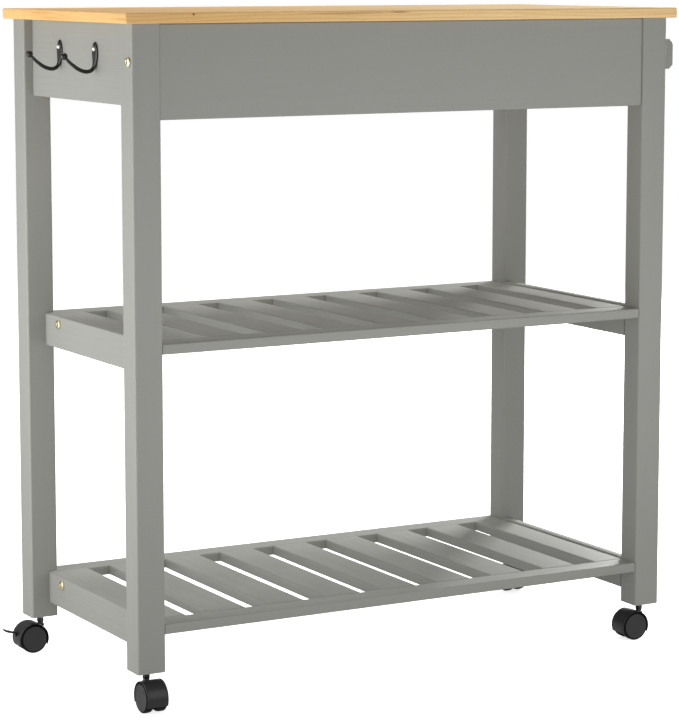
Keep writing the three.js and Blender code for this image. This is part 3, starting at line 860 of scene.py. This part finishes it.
def bolt_shape():
    """A low domed head about Z with a hexagon socket."""
    socket, mouth = hexagon(4.0), hexagon(4.4)
    edge = 1.3
    rim = arc((BOLT_RADIUS - edge, BOLT_PROUD - edge - 0.3), edge, 0, 65, 6)
    return turned([
        (0, -0.3), (BOLT_RADIUS, -0.3), *rim, (BOLT_RADIUS * 0.62, BOLT_PROUD - 0.14),
        (3.1, BOLT_PROUD), (mouth, BOLT_PROUD), (socket, BOLT_PROUD - 0.25), (socket, 0.1), (0, 0),
    ], 96)


def add_bolt(name, point, outward):
    """A bolt head at a point in metres, on a face that looks to +X or -X as `outward` is 1 or -1."""
    place = Matrix.Translation(Vector(point) / MM) @ Matrix.Rotation(outward * math.pi / 2, 4, "Y")
    add_piece(name, [bolt_shape()], place, BRASS, "cart_frame")


for end, outward in (("left", -1), ("right", 1)):
    for level in ("low", "mid"):
        low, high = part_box(f"{level}_end_rail_{end}")
        face = low.x if outward < 0 else high.x
        z = high.z - RAIL_BOLT_DROP * MM
        rows = {"front": low.y + FRONT_BOLT_INSET * MM, "rear": high.y - REAR_BOLT_INSET * MM}
        for row, y in rows.items():
            add_bolt(f"rail_bolt_{level}_{end}_{row}", (face, y, z), outward)
    low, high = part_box("leg_front_" + end)
    face = low.x if outward < 0 else high.x
    add_bolt("leg_bolt_" + end, (face, low.y + LEG_BOLT_BACK * MM, high.z - LEG_BOLT_DROP * MM), outward)

# ---- Studio -------------------------------------------------------------------------------

FLOOR_HALF = 100.0  # metres, so that no edge of the floor shows
CAMERA_PLACE = (-1.8375, -3.2587, 0.9581)  # metres
CAMERA_YAW = 29.185  # degrees from +Y towards +X
CAMERA_PITCH = 7.568  # degrees below level
CAMERA_LENS = 133.4  # millimetres
CAMERA_SHIFT = -0.0552


def add_floor():
    """The floor that the object stands on."""
    mesh = bpy.data.meshes.new("studio_floor")
    corners = [(-1, -1), (1, -1), (1, 1), (-1, 1)]
    mesh.from_pydata([(x * FLOOR_HALF, y * FLOOR_HALF, 0) for x, y in corners], [], [(0, 1, 2, 3)])
    floor = bpy.data.objects.new("studio_floor", mesh)
    floor.data.materials.append(floor_surface())
    bpy.context.scene.collection.objects.link(floor)
    # The floor lights nothing: what falls on the cart from below is the world's lower half.
    floor.visible_diffuse = False
    floor.visible_glossy = False


def add_area_light(name, place, target, size, power):
    """A soft box that the camera doesn't see, facing its target. Metres and watts."""
    data = bpy.data.lights.new(name, "AREA")
    data.shape = "RECTANGLE"
    data.size, data.size_y = size
    data.energy = power
    light = bpy.data.objects.new(name, data)
    light.location = place
    light.rotation_mode = "QUATERNION"
    light.rotation_quaternion = (Vector(target) - Vector(place)).to_track_quat("-Z", "Y")
    light.visible_camera = False
    bpy.context.scene.collection.objects.link(light)


def add_world(above, below):
    """An even white room, with one strength above the horizon and another below it."""
    world = bpy.data.worlds.new("studio")
    world.use_nodes = True
    tree = world.node_tree
    background = tree.nodes["Background"]
    background.inputs["Color"].default_value = (1.0, 1.0, 1.0, 1.0)
    direction = tree.nodes.new("ShaderNodeSeparateXYZ")
    tree.links.new(tree.nodes.new("ShaderNodeTexCoord").outputs["Generated"], direction.inputs[0])
    strength = tree.nodes.new("ShaderNodeMapRange")
    tree.links.new(direction.outputs["Z"], strength.inputs["Value"])
    for socket, value in (("From Min", -0.1), ("From Max", 0.1), ("To Min", below), ("To Max", above)):
        strength.inputs[socket].default_value = value
    tree.links.new(strength.outputs["Result"], background.inputs["Strength"])
    bpy.context.scene.world = world


def add_camera():
    """The camera of the photograph."""
    data = bpy.data.cameras.new("camera")
    data.lens = CAMERA_LENS
    data.shift_y = CAMERA_SHIFT
    data.clip_end = 200
    camera = bpy.data.objects.new("camera", data)
    camera.location = CAMERA_PLACE
    camera.rotation_euler = (math.radians(90 - CAMERA_PITCH), 0, math.radians(-CAMERA_YAW))
    bpy.context.scene.collection.objects.link(camera)
    bpy.context.scene.camera = camera


add_floor()
add_world(above=0.27, below=0.62)
add_area_light("left_softbox", (-1.0, 0.06, 0.52), (-0.4, 0.05, 0.48), (0.7, 1.0), 7.6)
add_area_light("front_softbox", (0.14, -0.9, 0.5), (0.14, 0.0, 0.5), (1.9, 0.9), 6.45)
add_area_light("back_right_softbox", (3.2, 2.2, 1.3), (0.2, 0.0, 0.3), (1.2, 1.0), 190)
add_area_light("overhead_softbox", (0.2, 0.95, 2.9), (0.0, 0.1, 0.4), (2.2, 0.8), 43)
add_camera()
bpy.context.scene.view_settings.view_transform = "Standard"
